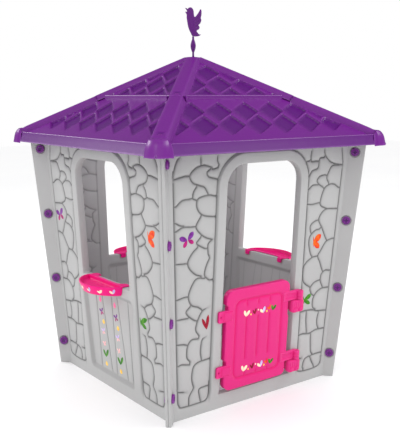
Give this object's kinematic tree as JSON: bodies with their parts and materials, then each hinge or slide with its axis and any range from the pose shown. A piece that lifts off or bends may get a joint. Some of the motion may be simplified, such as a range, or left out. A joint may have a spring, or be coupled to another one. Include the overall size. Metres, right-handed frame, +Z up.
{
  "type": "garden playhouse",
  "caption": "Square plastic playhouse with leaning stone-look walls, arched windows with trays, a half door on pins, a two-tier hipped roof and a turning bird vane.",
  "frame": {"origin": "centre of the footprint on the ground", "axes": "+Z up; the door is in the -Y wall, and the windows face +X, +Y and -X"},
  "size_m": [1.104, 1.104, 1.499],
  "materials": {
    "wall_plastic": "matte moulded",
    "roof_plastic": "satin moulded",
    "door_plastic": "satin moulded",
    "tray_plastic": "satin moulded",
    "fastener_plastic": "gloss moulded",
    "vane_plastic": "satin moulded"
  },
  "bodies": {
    "house": {"wall_front": "wall_plastic", "wall_right": "wall_plastic", "wall_back": "wall_plastic", "wall_left": "wall_plastic", "corner_bolts": "fastener_plastic", "corner_nuts": "fastener_plastic", "tray_right": "tray_plastic", "tray_back": "tray_plastic", "tray_left": "tray_plastic", "roof_lower_front": "roof_plastic", "roof_lower_right": "roof_plastic", "roof_lower_back": "roof_plastic", "roof_lower_left": "roof_plastic", "roof_upper_front": "roof_plastic", "roof_upper_right": "roof_plastic", "roof_upper_back": "roof_plastic", "roof_upper_left": "roof_plastic", "hip_cap_lower_front_right": "roof_plastic", "hip_cap_lower_back_right": "roof_plastic", "hip_cap_lower_back_left": "roof_plastic", "hip_cap_lower_front_left": "roof_plastic", "hip_cap_upper_front_right": "roof_plastic", "hip_cap_upper_back_right": "roof_plastic", "hip_cap_upper_back_left": "roof_plastic", "hip_cap_upper_front_left": "roof_plastic", "apex_cap": "roof_plastic", "roof_screws": "fastener_plastic", "hinge_bracket_upper": "door_plastic", "hinge_bracket_lower": "door_plastic", "hinge_pin_upper": "door_plastic", "hinge_pin_lower": "door_plastic", "bracket_screws": "door_plastic", "vane_post": "vane_plastic"},
    "door": {"door_leaf": "door_plastic", "door_lug_upper": "door_plastic", "door_lug_lower": "door_plastic", "door_hinge_upper": "door_plastic", "door_hinge_lower": "door_plastic"},
    "vane": {"vane_hub": "vane_plastic", "vane_bird": "vane_plastic"}
  },
  "joints": [
    {"name": "door_hinge", "type": "hinge", "parent": "house", "child": "door", "pos_m": [0.196, -0.42637, 0.2385], "axis": [0, -0.0579, 0.9983], "range_deg": [0, 160]},
    {"name": "vane_spin", "type": "hinge", "parent": "house", "child": "vane", "pos_m": [0, 0, 1.33], "axis": [0, 0, 1], "continuous": true}
  ]
}
